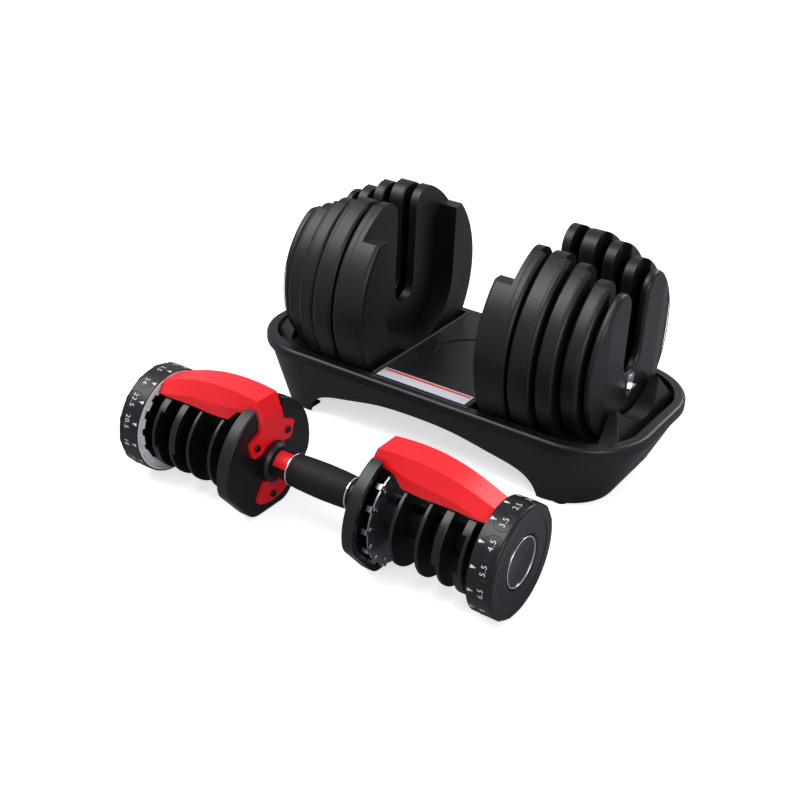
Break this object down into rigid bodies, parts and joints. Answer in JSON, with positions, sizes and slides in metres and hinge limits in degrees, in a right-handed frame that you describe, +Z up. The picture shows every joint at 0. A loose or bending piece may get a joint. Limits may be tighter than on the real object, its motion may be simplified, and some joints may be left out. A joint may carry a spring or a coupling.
{
  "type": "adjustable dumbbell",
  "caption": "Adjustable dumbbell handle with dial-turned selector discs standing on its collars in front of a cradle tray of slotted, hooked plates.",
  "frame": {"origin": "middle of the footprint of the tray and the handle together, on the floor that both stand on", "axes": "+X along the tray and along the handle, +Z up, -Y from the tray towards the handle"},
  "size_m": [0.436, 0.421, 0.2262],
  "materials": {
    "tray_plastic": "fine grain",
    "well_plastic": "fine grain",
    "label": "printed film, no words",
    "rubber": "matt",
    "plate_casing": "satin moulded casing",
    "zinc_steel": "zinc plated",
    "grip_rubber": "textured",
    "chrome": "bright",
    "shaft_steel": "ground",
    "collar_plastic": "fine grain",
    "red_plastic": "satin",
    "dark_screw": "blackened",
    "white_nylon": "satin",
    "disc_plastic": "satin",
    "dial_plastic": "satin",
    "cap_plastic": "fine grain",
    "spring_steel": "bright"
  },
  "bodies": {
    "tray": {"tray_shell": "tray_plastic", "plate_well_left": "well_plastic", "plate_well_right": "well_plastic", "warning_label": "label", "rubber_feet": "rubber"},
    "handle": {"grip_sleeve": "grip_rubber", "grip_rings": "chrome", "grip_tube": "shaft_steel", "handle_shaft": "shaft_steel", "bracket_screws": "dark_screw", "collar_left": "collar_plastic", "bracket_left": "red_plastic", "lower_foot_left": "red_plastic", "neck_left": "collar_plastic", "lock_spring_left": "spring_steel", "collar_right": "collar_plastic", "bracket_right": "red_plastic", "lower_foot_right": "red_plastic", "neck_right": "collar_plastic", "lock_spring_right": "spring_steel"},
    "plate_left_1": {"plate_left_1": "plate_casing", "plate_clip_left_1": "zinc_steel"},
    "plate_left_2": {"plate_left_2": "plate_casing", "plate_clip_left_2": "zinc_steel"},
    "plate_left_3": {"plate_left_3": "plate_casing", "plate_clip_left_3": "zinc_steel"},
    "plate_left_4": {"plate_left_4": "plate_casing", "plate_clip_left_4": "zinc_steel"},
    "plate_left_5": {"plate_left_5": "plate_casing", "plate_clip_left_5": "zinc_steel"},
    "rotor_left": {"dial_left": "dial_plastic", "dial_cap_left": "cap_plastic", "cap_ring_left": "chrome", "white_ring_left": "white_nylon", "index_disc_left": "zinc_steel", "selector_disc_left_1": "disc_plastic", "selector_disc_left_2": "disc_plastic", "selector_disc_left_3": "disc_plastic", "selector_disc_left_4": "disc_plastic"},
    "lock_left": {"lock_pin_left": "shaft_steel"},
    "plate_right_1": {"plate_right_1": "plate_casing", "plate_clip_right_1": "zinc_steel"},
    "plate_right_2": {"plate_right_2": "plate_casing", "plate_clip_right_2": "zinc_steel"},
    "plate_right_3": {"plate_right_3": "plate_casing", "plate_clip_right_3": "zinc_steel"},
    "plate_right_4": {"plate_right_4": "plate_casing", "plate_clip_right_4": "zinc_steel"},
    "plate_right_5": {"plate_right_5": "plate_casing", "plate_clip_right_5": "zinc_steel"},
    "rotor_right": {"dial_right": "dial_plastic", "dial_cap_right": "cap_plastic", "cap_ring_right": "chrome", "white_ring_right": "white_nylon", "index_disc_right": "zinc_steel", "selector_disc_right_1": "disc_plastic", "selector_disc_right_2": "disc_plastic", "selector_disc_right_3": "disc_plastic", "selector_disc_right_4": "disc_plastic"},
    "lock_right": {"lock_pin_right": "shaft_steel"}
  },
  "joints": [
    {"name": "handle_lift", "type": "slide", "parent": "tray", "child": "handle", "axis": [0, 0, 1], "range_m": [0, 0.3]},
    {"name": "plate_lift_left_1", "type": "slide", "parent": "tray", "child": "plate_left_1", "axis": [0, 0, 1], "range_m": [0, 0.12]},
    {"name": "plate_lift_left_2", "type": "slide", "parent": "tray", "child": "plate_left_2", "axis": [0, 0, 1], "range_m": [0, 0.12]},
    {"name": "plate_lift_left_3", "type": "slide", "parent": "tray", "child": "plate_left_3", "axis": [0, 0, 1], "range_m": [0, 0.12]},
    {"name": "plate_lift_left_4", "type": "slide", "parent": "tray", "child": "plate_left_4", "axis": [0, 0, 1], "range_m": [0, 0.12]},
    {"name": "plate_lift_left_5", "type": "slide", "parent": "tray", "child": "plate_left_5", "axis": [0, 0, 1], "range_m": [0, 0.12]},
    {"name": "dial_turn_left", "type": "hinge", "parent": "handle", "child": "rotor_left", "pos_m": [0.009, -0.15, 0.0528], "axis": [1, 0, 0], "continuous": true},
    {"name": "lock_slide_left", "type": "slide", "parent": "handle", "child": "lock_left", "axis": [1, 0, 0], "range_m": [-0.0034, 0], "stiffness_N_per_m": 150, "deforming": ["lock_spring_left"]},
    {"name": "plate_lift_right_1", "type": "slide", "parent": "tray", "child": "plate_right_1", "axis": [0, 0, 1], "range_m": [0, 0.12]},
    {"name": "plate_lift_right_2", "type": "slide", "parent": "tray", "child": "plate_right_2", "axis": [0, 0, 1], "range_m": [0, 0.12]},
    {"name": "plate_lift_right_3", "type": "slide", "parent": "tray", "child": "plate_right_3", "axis": [0, 0, 1], "range_m": [0, 0.12]},
    {"name": "plate_lift_right_4", "type": "slide", "parent": "tray", "child": "plate_right_4", "axis": [0, 0, 1], "range_m": [0, 0.12]},
    {"name": "plate_lift_right_5", "type": "slide", "parent": "tray", "child": "plate_right_5", "axis": [0, 0, 1], "range_m": [0, 0.12]},
    {"name": "dial_turn_right", "type": "hinge", "parent": "handle", "child": "rotor_right", "pos_m": [0.009, -0.15, 0.0528], "axis": [1, 0, 0], "continuous": true},
    {"name": "lock_slide_right", "type": "slide", "parent": "handle", "child": "lock_right", "axis": [-1, 0, 0], "range_m": [-0.0034, 0], "stiffness_N_per_m": 150, "deforming": ["lock_spring_right"]}
  ]
}
